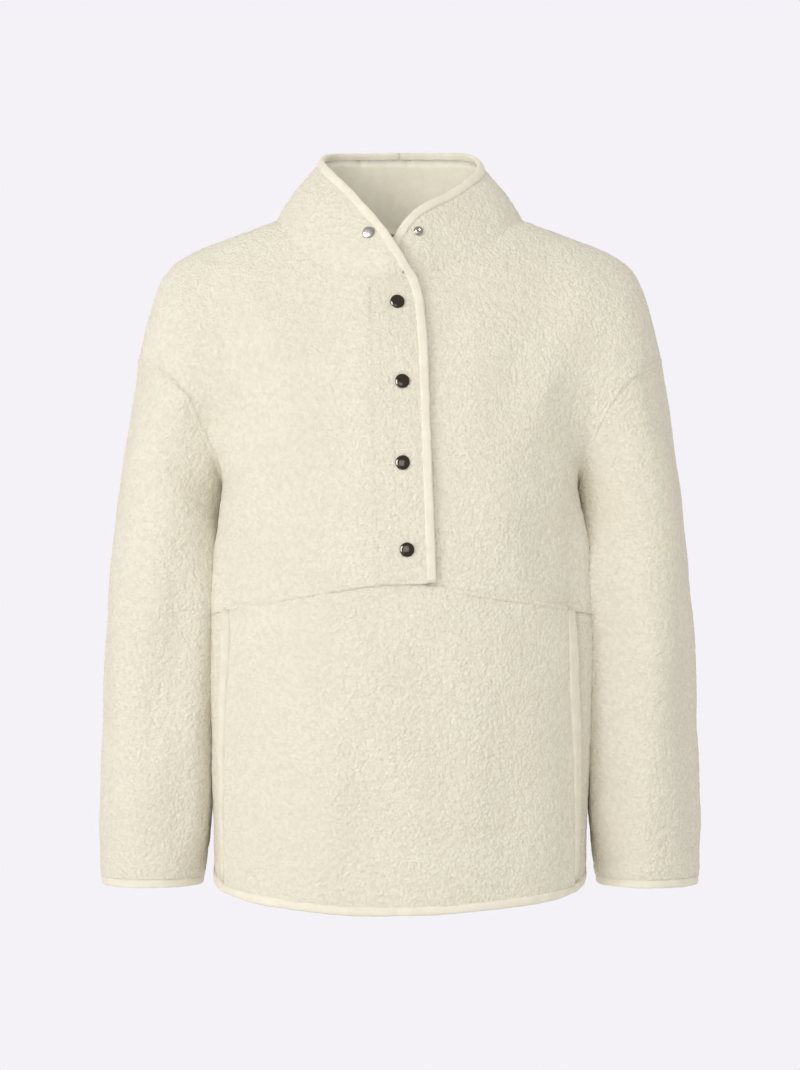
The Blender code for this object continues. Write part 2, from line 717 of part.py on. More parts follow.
def make_edge_bindings():
    centre = collar_points.shape[1] - 1 - BACK_COLUMNS - COLUMNS
    top, top_normals = collar_points[-1], collar_normals[-1]
    right = np.concatenate([placket_outer[:, -1], top[:centre + 1]])
    right_out = np.concatenate([placket_normals[:, -1], top_normals[:centre + 1]])
    left, left_out = top[centre:][::-1].copy(), top_normals[centre:][::-1]
    left[0] = left[0] + unit(left[1] - left[0]) * COLLAR_END["left"]
    for name, path, normals, sign in (("right", right, right_out, 1), ("left", left, left_out, -1)):
        out = edge_out(path, normals, sign)
        for _ in range(2):
            out[1:-1] = unit(out[:-2] + 2 * out[1:-1] + out[2:])
        path[-1] = path[-1] + unit(path[-2] - path[-1]) * SEAM / 2
        make_binding("edge_binding_" + name, path, normals, out, smooth_knit,
                     width=BINDING, top=0.9, bottom=-5.1)


# a turned snap cap or stud, standing on a point of the cloth
def make_snap(name, place, outward, across, height):
    radius = across / 2
    profile = ((0, height), (0.55, height * 0.94), (0.86, height * 0.66), (1, height * 0.3), (0.97, 0), (0, 0))
    mesh = bpy.data.meshes.new(name)
    points = [(x * radius * MM, 0, z * MM) for x, z in profile]
    mesh.from_pydata(points, [(i, i + 1) for i in range(len(points) - 1)], [])
    obj = bpy.data.objects.new(name, mesh)
    mesh.materials.append(nickel)
    collection.objects.link(obj)
    turn = obj.modifiers.new("turn", "SCREW")
    turn.steps = turn.render_steps = 16
    turn.use_merge_vertices = True
    turn.merge_threshold = 0.00001
    turn.use_smooth_shade = True
    facing = Vector(outward).to_track_quat("Z", "Y").to_matrix().to_4x4()
    obj.matrix_world = Matrix.Translation(Vector((place + outward * SEAM) * MM)) @ facing
    return obj


# each point of a row and the one halfway to the next
def with_halfway(row):
    both = np.empty((2 * len(row) - 1,) + row.shape[1:])
    both[::2] = row
    both[1::2] = (row[:-1] + row[1:]) / 2
    return both


def make_sleeve(side):
    sign = 1 if side == "left" else -1
    front, front_normals = armhole_ring(1)
    back, back_normals = armhole_ring(-1)
    ring = np.concatenate([front, back[-2:0:-1]])
    ring_normals = np.concatenate([front_normals, back_normals[-2:0:-1]])
    ring_drape = with_halfway(body_relief(np.concatenate([ring, ring[:1]]) * np.array((sign, 1, 1))))[:-1]
    half_angle = read(ARMHOLE, "angle", np.linspace(0, 10, RING_ROWS + 1))
    start_angle = with_halfway(np.concatenate([half_angle, 360 - half_angle[-2::-1]]))[:-1]
    ring = with_halfway(np.concatenate([ring, ring[:1]]))[:-1]
    ring_normals = with_halfway(np.concatenate([ring_normals, ring_normals[:1]]))[:-1]
    even_angle = np.arange(len(ring)) * 360.0 / len(ring)
    nominal = cast(sleeve_distance, sleeve_axis(ring[:, 2]), sleeve_ways(start_angle))
    points, normals, angles = [ring], [ring_normals], [start_angle]
    for row in range(1, SLEEVE_ROWS + 1):
        share = min(row / SLEEVE_JOIN, 1)
        below = max(row - SLEEVE_JOIN, 0) / (SLEEVE_ROWS - SLEEVE_JOIN)
        z = ring[:, 2] + (SLEEVE_JOIN_Z - ring[:, 2]) * share + (CUFF_Z - SLEEVE_JOIN_Z) * below
        angle = start_angle + (even_angle - start_angle) * smoothstep(0, 1, share)
        tube = cast(sleeve_distance, sleeve_axis(z), sleeve_ways(angle))
        points.append(tube + (ring - nominal) * (1 - smoothstep(0, 0.5, share)))
        normals.append(slope_of(sleeve_distance, tube))
        angles.append(angle)
    points = np.stack(points) * np.array((sign, 1, 1))
    normals = np.stack(normals) * np.array((sign, 1, 1))
    steps = np.arange(SLEEVE_ROWS + 1.0)[:, None]
    drape = sleeve_relief(points, np.stack(angles), sign) * smoothstep(0, 1.5, steps)
    drape = drape + ring_drape * (1 - smoothstep(0, 3, steps))
    points = points + normals * drape[..., None]
    make_wall("sleeve_" + side, points, normals, FLEECE, fleece, edges=("first_row",), around=True)
    out = unit(points[-1] - points[-2])
    out = unit(out - normals[-1] * (out * normals[-1]).sum(-1, keepdims=True))
    make_binding("cuff_binding_" + side, points[-1] - normals[-1] * 2.2, normals[-1], out, smooth_knit,
                 around=True, top=0.9, bottom=-3.2)


# the place on a grid's front that lies at x and z, and the normal there
def nearest_on(points, normals, x, z):
    share = np.linspace(0, 1, 9)
    best = None
    for i in range(points.shape[0] - 1):
        for j in range(points.shape[1] - 1):
            for s in share:
                for t in share:
                    weights = np.array((((1 - s) * (1 - t), (1 - s) * t), (s * (1 - t), s * t)))[..., None]
                    point = (points[i:i + 2, j:j + 2] * weights).sum((0, 1))
                    off = np.hypot(point[0] - x, point[2] - z)
                    if point[1] < 0 and (best is None or off < best[0]):
                        best = (off, point, unit((normals[i:i + 2, j:j + 2] * weights).sum((0, 1))))
    return best[1], best[2]


def make_snaps():
    for index, (x, z) in enumerate(zip(SNAPS["x"], SNAPS["z"])):
        start = np.array([[x, 0, z]])
        point = cast(body_surface, start, np.array([[0, -1.0, 0]]))
        normal = slope_of(body_surface, point)
        point = point + normal * (body_relief(point)[..., None] + LAP / 2)
        make_snap("snap_cap_" + str(index + 1), point[0], normal[0], SNAP_ACROSS, 2.4)
    middle = collar_points.shape[1] - 1 - BACK_COLUMNS - COLUMNS
    for name, (x, z), across, half in (("snap_cap_collar", COLLAR_SNAP, SNAP_ACROSS - 1.8, slice(0, middle)),
                                       ("snap_stud_collar", COLLAR_STUD, STUD_ACROSS, slice(middle, None))):
        point, normal = nearest_on(collar_points[:, half], collar_normals[:, half], x, z)
        make_snap(name, point, normal, across, 2.0)


back_outer, back_normals = make_back()
right_outer, right_normals = make_upper_front("right")
left_outer, left_normals = make_upper_front("left")
placket_outer, placket_normals = make_placket()
lower_outer, lower_normals = make_lower_front()
for side_name in ("right", "left"):
    make_pocket_layer(side_name)
    make_sleeve(side_name)
    make_pocket_binding(side_name, lower_outer, lower_normals)
make_hem_binding()
collar_points, collar_normals = make_collar()
make_edge_bindings()
make_snaps()
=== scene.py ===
# Looks of a fleece pullover: pile, knit bindings, pockets' welts and snaps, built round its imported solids.
import math

import bmesh
import bpy
import numpy as np
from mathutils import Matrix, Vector, noise
from mathutils.kdtree import KDTree


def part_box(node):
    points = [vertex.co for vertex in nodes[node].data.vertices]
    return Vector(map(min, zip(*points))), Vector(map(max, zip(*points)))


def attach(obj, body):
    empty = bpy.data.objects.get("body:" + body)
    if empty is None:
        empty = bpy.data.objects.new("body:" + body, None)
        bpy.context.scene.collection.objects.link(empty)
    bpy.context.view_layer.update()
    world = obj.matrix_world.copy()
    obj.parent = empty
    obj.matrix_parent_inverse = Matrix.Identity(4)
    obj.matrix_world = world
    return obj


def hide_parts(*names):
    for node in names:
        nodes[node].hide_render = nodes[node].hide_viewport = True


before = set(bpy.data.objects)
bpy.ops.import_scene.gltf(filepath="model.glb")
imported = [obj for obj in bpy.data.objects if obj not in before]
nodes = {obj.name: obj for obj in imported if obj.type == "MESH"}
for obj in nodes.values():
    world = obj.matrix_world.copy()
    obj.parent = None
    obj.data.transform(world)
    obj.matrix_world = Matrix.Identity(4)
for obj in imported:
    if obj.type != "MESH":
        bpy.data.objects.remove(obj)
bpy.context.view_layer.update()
print("frame loaded:", len(nodes), "solids")


# Camera, as the photograph is framed
cameraSettings = {
    "distance": 3.5,
    "height": -0.290,
    "lens": 123.95,
    "sensor": 36.0,
    "farthest": 50,
}

cameraData = bpy.data.cameras.new("frontCamera")
cameraData.lens = cameraSettings["lens"]
cameraData.sensor_width = cameraSettings["sensor"]
cameraData.sensor_height = cameraSettings["sensor"]
cameraData.clip_end = cameraSettings["farthest"]
cameraObject = bpy.data.objects.new("frontCamera", cameraData)
cameraObject.location = (0, -cameraSettings["distance"], cameraSettings["height"])
cameraObject.rotation_euler = (math.radians(90), 0, 0)
bpy.context.scene.collection.objects.link(cameraObject)
bpy.context.scene.camera = cameraObject


# Shader sums are written as expressions on this wrapped socket
class Wire:
    def __init__(self, tree, socket):
        self.tree = tree
        self.socket = socket

    def sum(self, operation, other, turned=False):
        node = self.tree.nodes.new("ShaderNodeMath")
        node.operation = operation
        pair = (other, self) if turned else (self, other)
        for place, value in zip(node.inputs, pair):
            if isinstance(value, Wire):
                self.tree.links.new(value.socket, place)
            else:
                place.default_value = value
        return Wire(self.tree, node.outputs[0])

    def __add__(self, other):
        return self.sum("ADD", other)

    def __sub__(self, other):
        return self.sum("SUBTRACT", other)

    def __rsub__(self, other):
        return self.sum("SUBTRACT", other, True)

    def __mul__(self, other):
        return self.sum("MULTIPLY", other)

    __radd__ = __add__
    __rmul__ = __mul__


# A finish is one material with its nodes
class Finish:
    def __init__(self, name):
        self.material = bpy.data.materials.new(name)
        self.material.use_nodes = True
        self.tree = self.material.node_tree
        self.tree.nodes.clear()

    def make(self, kind, settings=None, inputs=None, output=0):
        node = self.tree.nodes.new(kind)
        for key, value in (settings or {}).items():
            setattr(node, key, value)
        for key, value in (inputs or {}).items():
            if isinstance(value, Wire):
                self.tree.links.new(value.socket, node.inputs[key])
            else:
                node.inputs[key].default_value = value
        return Wire(self.tree, node.outputs[output])

    def noise(self, place, size, detail=2.0, roughness=0.5):
        return self.make("ShaderNodeTexNoise", None, {
            "Vector": place, "Scale": 1 / size, "Detail": detail, "Roughness": roughness,
        })

    def cells(self, place, size, feature="F1"):
        return self.make("ShaderNodeTexVoronoi", {"feature": feature}, {
            "Vector": place, "Scale": 1 / size,
        })

    def band(self, value, low, high):
        return self.make("ShaderNodeMapRange", {"interpolation_type": "SMOOTHSTEP"}, {
            "Value": value, "From Min": low, "From Max": high,
        })

    # The Mix node's inputs 0, 6 and 7 are its factor and two colours, and its output 2 is the blend
    def blendColours(self, share, first, second):
        return self.make("ShaderNodeMix", {"data_type": "RGBA"}, {
            0: share, 6: first, 7: second,
        }, output=2)

    def place(self):
        return self.make("ShaderNodeTexCoord", output=3)  # the object's own coordinates

    def bump(self, height, distance, strength=1.0, under=None):
        inputs = {"Height": height, "Distance": distance, "Strength": strength}
        if under:
            inputs["Normal"] = under
        return self.make("ShaderNodeBump", None, inputs)

    def close(self, shader):
        out = self.tree.nodes.new("ShaderNodeOutputMaterial")
        self.tree.links.new(shader.socket, out.inputs["Surface"])
        return self.material


# A colour given in steps of 255, turned into Blender's linear colour
def colour(red, green, blue):
    steps = [part / 255 for part in (red, green, blue)]
    return (*[((s + 0.055) / 1.055) ** 2.4 if s > 0.04 else s / 12.92 for s in steps], 1)


fleeceSettings = {
    # tip is the pile's cream; root is painted shade, a darker cream for the pile's crevices, seams and rims
    "tip": colour(233, 228, 212),
    "root": colour(224, 218, 200),
    "patch": colour(229, 223, 204),
    "patchSize": 0.05,
    "patchEdges": (0.35, 0.65),
    "patchShare": 0.6,
    "curlShare": 0.5,
    "strandShare": 0.3,
    "grainShare": 0.4,
    "creviceShadeEdges": (0.2, 1.0),
    "grainSize": 0.0028,
    "grainHeight": 0.0015,
    "strandSize": 0.0009,
    "strandHeight": 0.0006,
    "bumpStrength": 0.8,
    "roughness": 0.92,
    "specular": 0.06,
    "sheen": 0.25,
    "sheenRoughness": 0.5,
}


def fleeceFinish():
    look = fleeceSettings
    finish = Finish("creamFleece")
    place = finish.place()
    # The curl layer carries painted shade: it is low in the pile's crevices and along its seams
    curlAndSeamShade = finish.make("ShaderNodeAttribute", {"attribute_name": "curlAndSeamShade"}, output=2)  # its factor
    strands = finish.noise(place, look["strandSize"], detail=3.0, roughness=0.6)
    grain = 1 - finish.cells(place, look["grainSize"])
    patches = finish.band(finish.noise(place, look["patchSize"]), *look["patchEdges"])
    tips = finish.blendColours(patches * look["patchShare"], look["tip"], look["patch"])
    # Painted shade: the colour darkens from the tips to root where curls, strands and grain sit low
    raised = curlAndSeamShade * look["curlShare"] + strands * look["strandShare"] + grain * look["grainShare"]
    shade = finish.blendColours(finish.band(raised, *look["creviceShadeEdges"]), look["root"], tips)
    nubs = finish.bump(grain, look["grainHeight"], look["bumpStrength"])
    normal = finish.bump(strands, look["strandHeight"], look["bumpStrength"], nubs)
    shader = finish.make("ShaderNodeBsdfPrincipled", None, {
        "Base Color": shade, "Normal": normal, "Roughness": look["roughness"],
        "Sheen Weight": look["sheen"], "Sheen Roughness": look["sheenRoughness"],
        "Specular IOR Level": look["specular"],
    })
    return finish.close(shader)


knitSettings = {
    "binding": (colour(232, 227, 211), colour(225, 219, 200)),
    "inner": (colour(240, 235, 219), colour(233, 228, 211)),
    "welt": (colour(224, 219, 202), colour(217, 211, 193)),
    "loopSize": 0.0009,
    "loopHeight": 0.00012,
    "loopShare": 0.25,
    "waveSize": 0.012,
    "waveEdges": (0.35, 0.85),
    "bumpStrength": 0.6,
    "roughness": 0.8,
    "specular": 0.08,
    "sheen": 0.15,
    "sheenRoughness": 0.5,
}


def knitFinish(name, light, dark):
    look = knitSettings
    finish = Finish(name)
    place = finish.place()
    loops = finish.cells(place, look["loopSize"])
    waves = finish.noise(place, look["waveSize"], detail=3.0)
    mixed = finish.band(waves + loops * look["loopShare"], *look["waveEdges"])
    shade = finish.blendColours(mixed, light, dark)
    normal = finish.bump(loops, look["loopHeight"], look["bumpStrength"])
    shader = finish.make("ShaderNodeBsdfPrincipled", None, {
        "Base Color": shade, "Normal": normal, "Roughness": look["roughness"],
        "Sheen Weight": look["sheen"], "Sheen Roughness": look["sheenRoughness"],
        "Specular IOR Level": look["specular"],
    })
    return finish.close(shader)


metalSettings = {
    "dark": (colour(62, 57, 52), colour(74, 69, 62), 0.07),
    "grey": (colour(150, 146, 138), colour(172, 168, 158), 0.28),
    "scratchSize": 0.0008,
    "scratchHeight": 0.00004,
    "scratchEdges": (0.4, 0.75),
    "scratchRoughness": 0.06,
    "bumpStrength": 0.4,
}


def metalFinish(name, face, worn, roughness):
    look = metalSettings
    finish = Finish(name)
    place = finish.place()
    scratches = finish.noise(place, look["scratchSize"], detail=3.0)
    shade = finish.blendColours(finish.band(scratches, *look["scratchEdges"]), face, worn)
    shader = finish.make("ShaderNodeBsdfPrincipled", None, {
        "Base Color": shade, "Metallic": 1.0,
        "Roughness": scratches * look["scratchRoughness"] + roughness,
        "Normal": finish.bump(scratches, look["scratchHeight"], look["bumpStrength"]),
    })
    return finish.close(shader)


creamFleece = fleeceFinish()
innerKnit = knitFinish("innerKnit", *knitSettings["inner"])
bindingKnit = knitFinish("bindingKnit", *knitSettings["binding"])
weltKnit = knitFinish("weltKnit", *knitSettings["welt"])
darkNickel = metalFinish("darkNickel", *metalSettings["dark"])
greyNickel = metalFinish("greyNickel", *metalSettings["grey"])
print("finishes made")


# A cloth node's faces are told apart by their material index
outerSide = 0
innerSide = 1
rimSide = 2

shapeSettings = {
    "weld": 1e-6,
    "creaseAngle": math.radians(40),
    "quadAngle": math.radians(60),
    "quadShape": math.radians(170),
    "sharpest": 60,
    "longEdge": 1.45,
    "fewEdges": 20,
    "rounds": 4,
}


def sidesOf(name, middle):
    shape = bmesh.new()
    shape.from_mesh(nodes[name].data)
    bmesh.ops.remove_doubles(shape, verts=shape.verts, dist=shapeSettings["weld"])
    shape.normal_update()
    sheets = []
    for face in shape.faces:
        face.tag = False
    for start in shape.faces:
        if start.tag:
            continue
        start.tag = True
        found = [start]
        for face in found:
            for edge in face.edges:
                if edge.calc_face_angle(math.pi) > shapeSettings["creaseAngle"]:
                    continue
                for other in edge.link_faces:
                    if not other.tag:
                        other.tag = True
                        found.append(other)
        sheets.append(found)
    sheets.sort(key=lambda faces: -sum(face.calc_area() for face in faces))
    facing = []
    for faces in sheets[:2]:
        score = 0
        for face in faces:
            centre = face.calc_center_median()
            away = centre - Vector(middle(centre))
            score += face.calc_area() * away.dot(face.normal)
        facing.append(score)
    outer = 0 if facing[0] > facing[1] else 1
    for number, faces in enumerate(sheets):
        side = rimSide if number > 1 else (outerSide if number == outer else innerSide)
        for face in faces:
            face.material_index = side

    # Where a rim ran on smoothly into one side, its narrow faces are told by touching the other side
    touching = []
    for side, other in ((outerSide, innerSide), (innerSide, outerSide)):
        far = {vertex for face in shape.faces if face.material_index == other for vertex in face.verts}
        touching.append([
            face for face in shape.faces
            if face.material_index == side and any(vertex in far for vertex in face.verts)
        ])
    if touching[0]:
        narrow = min(touching, key=lambda faces: sum(face.calc_area() for face in faces) / len(faces))
        for face in narrow:
            face.material_index = rimSide
    return shape


def trunkMiddle(point):
    return (0, 0, point.z)


def asQuads(shape, sharpest):
    look = shapeSettings
    bmesh.ops.join_triangles(
        shape, faces=shape.faces, cmp_materials=True,
        angle_face_threshold=look["quadAngle"], angle_shape_threshold=look["quadShape"],
    )
    crease = shape.edges.layers.float.new("crease_edge")
    for edge in shape.edges:
        sides = {face.material_index for face in edge.link_faces}
        if len(sides) > 1 or edge.calc_face_angle(0) > math.radians(sharpest):
            edge[crease] = 1.0


def smoothed(shape, name, levels):
    mesh = bpy.data.meshes.new(name)
    shape.to_mesh(mesh)
    shape.free()
    draft = bpy.data.objects.new(name + "Draft", mesh)
    bpy.context.scene.collection.objects.link(draft)
    modifier = draft.modifiers.new("smooth", "SUBSURF")
    modifier.levels = levels
    modifier.render_levels = levels
    modifier.boundary_smooth = "ALL"
    bpy.context.view_layer.update()
    made = bpy.data.meshes.new_from_object(draft.evaluated_get(bpy.context.evaluated_depsgraph_get()))
    bpy.data.objects.remove(draft)
    made.name = name
    return made


# The body's front sides are let out over the sleeves' inner sides, by these widths at these heights
letOut = {
    "heights": (-0.62, -0.56, -0.50, -0.40, -0.30, -0.27, -0.245),
    "right": (0, 0.002, 0.005, 0.009, 0.010, 0.006, 0),
    "left": (0, 0.003, 0.007, 0.013, 0.013, 0.007, 0),
    "inner": 0.157,
    "outer": 0.170,
    "behind": 0.06,
}


def eased(low, high, value):
    share = min(1.0, max(0.0, (value - low) / (high - low)))
    return share * share * (3 - 2 * share)


def letOutBody(vertices):
    look = letOut
    for vertex in vertices:
        place = vertex.co
        amount = float(np.interp(place.z, look["heights"], look["right" if place.x < 0 else "left"]))
        share = eased(look["inner"], look["outer"], abs(place.x)) * (1 - eased(0, look["behind"], place.y))
        place.x += math.copysign(amount * share, place.x)


# The sleeves' inner front sides are filled out towards the body, as the flattened sleeves show
fillOut = {
    "near": 0.176,
    "far": 0.212,
    "forward": 0.012,
    "inward": 0.004,
    "frontDepths": (-0.035, 0.0),
    "topHeights": (-0.33, -0.27),
    "cuffHeights": (-0.615, -0.56),
}


def fillOutSleeve(vertices):
    look = fillOut
    for vertex in vertices:
        place = vertex.co
        share = 1 - eased(look["near"], look["far"], abs(place.x))
        share *= 1 - eased(*look["frontDepths"], place.y)
        share *= (1 - eased(*look["topHeights"], place.z)) * eased(*look["cuffHeights"], place.z)
        place.y -= look["forward"] * share
        place.x -= math.copysign(look["inward"] * share, place.x)


# The outer side is divided until its edges are about as long as the spacing
def finer(mesh, spacing):
    look = shapeSettings
    shape = bmesh.new()
    shape.from_mesh(mesh)
    for turn in range(look["rounds"]):
        wanted = [
            edge for edge in shape.edges
            if edge.calc_length() > spacing * look["longEdge"]
            and any(face.material_index == outerSide for face in edge.link_faces)
        ]
        if len(wanted) < look["fewEdges"]:
            break
        bmesh.ops.subdivide_edges(shape, edges=wanted, cuts=1, use_grid_fill=True)
    shape.normal_update()
    return shape


def addPiece(name, mesh, node, materials):
    for material in materials:
        mesh.materials.append(material)
    piece = bpy.data.objects.new(name, mesh)
    bpy.context.scene.collection.objects.link(piece)
    mesh.polygons.foreach_set("use_smooth", [True] * len(mesh.polygons))
    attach(piece, "root")
    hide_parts(node)
    return piece


# The fleece: curls of pile raised on the outer side, sunk along each seam, with painted shade in the low
# curls and along the seams
pileSettings = {
    "spacing": 0.0017,
    "backSpacing": 0.0020,
    "curlSize": 0.0042,
    "curlHeight": 0.0008,
    "curlFall": 1.9,
    "curlMiddle": 0.45,
    "curlAtSeam": 0.55,
    "tuftSize": 0.009,
    "tuftHeight": 0.0004,
    "tuftStart": 7.0,
    "tuftAtSeam": 0.6,
    "swellSize": 0.045,
    "swellHeight": 0.0012,
    "swellStart": 31.0,
    "swellFade": 0.02,
    "warp": 0.0008,
    "warpSize": 0.006,
    "seamDepth": 0.0004,
    "seamWidth": 0.0026,
    # how far painted shade darkens the fleece's colour along each seam
    "seamShade": 0.35,
    "rimSpread": 0.0012,
    "sink": 0.0006,
    "seed": 7,
}
noise.seed_set(pileSettings["seed"])  # the warped noise is the same in each run


def curlHeights(points):
    look = pileSettings
    heights = np.empty(len(points))
    for number, point in enumerate(points):
        place = Vector(point)
        bent = place + look["warp"] * noise.noise_vector(place / look["warpSize"])
        near = noise.voronoi(bent / look["curlSize"], distance_metric="DISTANCE_SQUARED")[0]
        heights[number] = max(0.0, 1 - near[0] * look["curlFall"])
    return heights


def softHeights(points, size, start):
    return np.array([noise.noise(Vector(point) / size + Vector((start, 0, 0))) for point in points])


def sideNormal(vertex, side):
    total = Vector()
    for face in vertex.link_faces:
        if face.material_index == side:
            total += face.normal
    return total.normalized()


def treeOf(points):
    tree = KDTree(len(points))
    for number, point in enumerate(points):
        tree.insert(point, number)
    tree.balance()
    return tree


def raisePile(shape, name):
    look = pileSettings
    layer = shape.verts.layers.float.new("curlAndSeamShade")
    shape.verts.index_update()
    rimSum = {}
    outer = []
    for face in shape.faces:
        if face.material_index == rimSide:
            for vertex in face.verts:
                rimSum[vertex.index] = rimSum.get(vertex.index, Vector()) + face.normal * face.calc_area()
    for vertex in shape.verts:
        if any(face.material_index == outerSide for face in vertex.link_faces):
            outer.append(vertex)
    tree = treeOf([vertex.co for vertex in outer if vertex.index in rimSum])
    points = np.array([vertex.co for vertex in outer])
    normals = []
    for vertex in outer:
        if vertex.index in rimSum:
            normals.append(sideNormal(vertex, outerSide))
        else:
            normals.append(vertex.normal.copy())
    distance = np.array([tree.find(vertex.co)[2] for vertex in outer])
    curls = curlHeights(points)
    tufts = softHeights(points, look["tuftSize"], look["tuftStart"])
    swell = softHeights(points, look["swellSize"], look["swellStart"])
    seam = np.exp(-((distance / look["seamWidth"]) ** 2))
    rise = look["curlHeight"] * (curls - look["curlMiddle"]) * (1 - look["curlAtSeam"] * seam)
    rise += look["tuftHeight"] * tufts * (1 - look["tuftAtSeam"] * seam)
    rise += look["swellHeight"] * swell * (1 - np.exp(-((distance / look["swellFade"]) ** 2)))
    rise -= look["seamDepth"] * seam + look["sink"]
    for number, vertex in enumerate(outer):
        vertex.co += normals[number] * float(rise[number])
        # The curl layer is painted shade: low curls and a band along each seam take the darker root colour
        vertex[layer] = float(min(1.0, curls[number] * (1 - look["seamShade"] * seam[number])))
        if vertex.index in rimSum:
            vertex.co += rimSum[vertex.index].normalized() * look["rimSpread"]
    for edge in shape.edges:
        edge.smooth = len({face.material_index for face in edge.link_faces}) == 1
    mesh = bpy.data.meshes.new(name)
    shape.to_mesh(mesh)
    shape.free()
    return mesh


# Rolls of fleece fill the armhole seams and the pocket seam from below
rollSettings = {
    "sides": 8,
    "radius": 0.0026,
    "armholeSink": 0.0033,
    "armholeLowest": -0.30,
    "pocketSink": 0.0024,
    "pocketLowest": -0.385,
    "bodyLowest": -0.62,
}


# The points and normals of a node's outer rim over a height, in the order they lie
def rimPath(name, middle, lowest):
    shape = sidesOf(name, middle)
    ways = {}
    for edge in shape.edges:
        first, second = edge.verts
        sides = {face.material_index for face in edge.link_faces}
        if sides == {outerSide, rimSide} and min(first.co.z, second.co.z) > lowest:
            ways.setdefault(first, []).append(second)
            ways.setdefault(second, []).append(first)
    start = min(ways, key=lambda vertex: (len(ways[vertex]), vertex.co.z))
    path = [start]
    while True:
        ahead = [vertex for vertex in ways[path[-1]] if vertex not in path]
        if not ahead:
            break
        path.append(ahead[0])
    rows = [(vertex.co.copy(), sideNormal(vertex, outerSide)) for vertex in path]
    shape.free()
    return rows


# A roll lies between a node's rim and the panels beside it, round a sleeve or along the lower front
def addRoll(shape, node, middle, panels, lowest, sink, closed):
    look = rollSettings
    path = rimPath(node, middle, lowest)
    beside = [row for panel in panels for row in rimPath(panel, trunkMiddle, look["bodyLowest"])]
    tree = treeOf([point for point, normal in beside])
    rings = []
    for number, (point, normal) in enumerate(path):
        near = beside[tree.find(point)[1]]
        up = (normal + near[1]).normalized()
        before = path[number - 1 if closed or number else 0][0]
        ahead = path[(number + 1) % len(path) if closed else min(number + 1, len(path) - 1)][0]
        along = (ahead - before).normalized()
        side = along.cross(up).normalized()
        centre = (point + near[0]) / 2 - up * sink
        ring = []
        for step in range(look["sides"]):
            turn = math.pi * (2 * step + 1) / look["sides"]
            away = side * math.cos(turn) + up * math.sin(turn)
            ring.append(shape.verts.new(centre + away * look["radius"]))
        rings.append(ring)
    for number, ring in enumerate(rings if closed else rings[:-1]):
        after = rings[(number + 1) % len(rings)]
        for step in range(look["sides"]):
            following = (step + 1) % look["sides"]
            face = shape.faces.new((ring[step], ring[following], after[following], after[step]))
            face.material_index = outerSide


def fleecePiece(name, node, spacing, levels=2, middle=trunkMiddle, roll=None):
    shape = sidesOf(node, middle)
    if roll:
        addRoll(shape, node, middle, *roll)
    asQuads(shape, shapeSettings["sharpest"])
    base = smoothed(shape, name + "Base", levels)
    if node.startswith("sleeve"):
        fillOutSleeve(base.vertices)
    else:
        letOutBody(base.vertices)
    mesh = raisePile(finer(base, spacing), name)
    bpy.data.meshes.remove(base)
    piece = addPiece(name, mesh, node, (creamFleece, innerKnit, creamFleece))
    print(name, "made:", len(mesh.polygons), "faces")
    return piece


# The middle of an arm at each height, from the points of its sleeve
armSettings = {
    "heights": 14,
    "overlap": 0.01,
}


def armMiddle(node):
    look = armSettings
    low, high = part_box(node)
    points = np.array([vertex.co for vertex in nodes[node].data.vertices])
    steps = np.linspace(low.z, high.z, look["heights"])
    rows = []
    for first, second in zip(steps[:-1], steps[1:]):
        within = (points[:, 2] >= first - look["overlap"]) & (points[:, 2] <= second + look["overlap"])
        part = points[within]
        rows.append(part.mean(axis=0))
    rows = np.array(rows)

    def middle(point):
        return [float(np.interp(point.z, rows[:, 2], rows[:, axis])) for axis in range(3)]

    return middle


def sleevePiece(side):
    node = "sleeve_" + side.lower()
    panels = ("back", "front_upper_" + side.lower())
    roll = (panels, rollSettings["armholeLowest"], rollSettings["armholeSink"], True)
    return fleecePiece("sleeve" + side, node, fine, middle=armMiddle(node), roll=roll)


wearerSides = ("Right", "Left")
fine = pileSettings["spacing"]
upperNodes = ("front_upper_right", "front_upper_left")
pocketRoll = (upperNodes, rollSettings["pocketLowest"], rollSettings["pocketSink"], False)

backPanel = fleecePiece("backPanel", "back", pileSettings["backSpacing"])
upperFronts = [fleecePiece("upperFront" + side, "front_upper_" + side.lower(), fine) for side in wearerSides]
lowerFront = fleecePiece("lowerFront", "front_lower", fine, roll=pocketRoll)
pocketLayers = [
    fleecePiece("pocketLayer" + side, "pocket_layer_" + side.lower(), fine) for side in wearerSides
]
placketBand = fleecePiece("placketBand", "placket", fine, levels=1)
sleeves = [sleevePiece(side) for side in wearerSides]
collarOuter = fleecePiece("collarOuter", "collar", fine)


# The smooth knit: bindings and the collar's inner side
bindingSettings = {
    "levels": 2,
    "endAngle": 80,
    "liningSpread": 0.0030,
    "puckerSize": 0.009,
    "puckerHeight": 0.0006,
    "waveSize": 0.05,
    "waveHeight": 0.0005,
    "waveStart": Vector((5, 5, 5)),
    "joinLowest": 0.03,
    "joinWidth": 0.003,
}


def puckered(mesh, spread):
    look = bindingSettings
    shape = bmesh.new()
    shape.from_mesh(mesh)
    shape.normal_update()
    moves = {}
    for vertex in shape.verts:
        rise = look["puckerHeight"] * noise.noise(vertex.co / look["puckerSize"])
        rise += look["waveHeight"] * noise.noise(vertex.co / look["waveSize"] + look["waveStart"])
        moves[vertex] = vertex.normal * rise
        rims = [face.normal for face in vertex.link_faces if face.material_index == rimSide]
        if rims and len(rims) < len(vertex.link_faces):
            moves[vertex] += sum(rims, Vector()).normalized() * spread
    for vertex, move in moves.items():
        vertex.co += move
    shape.to_mesh(mesh)
    shape.free()
    return mesh


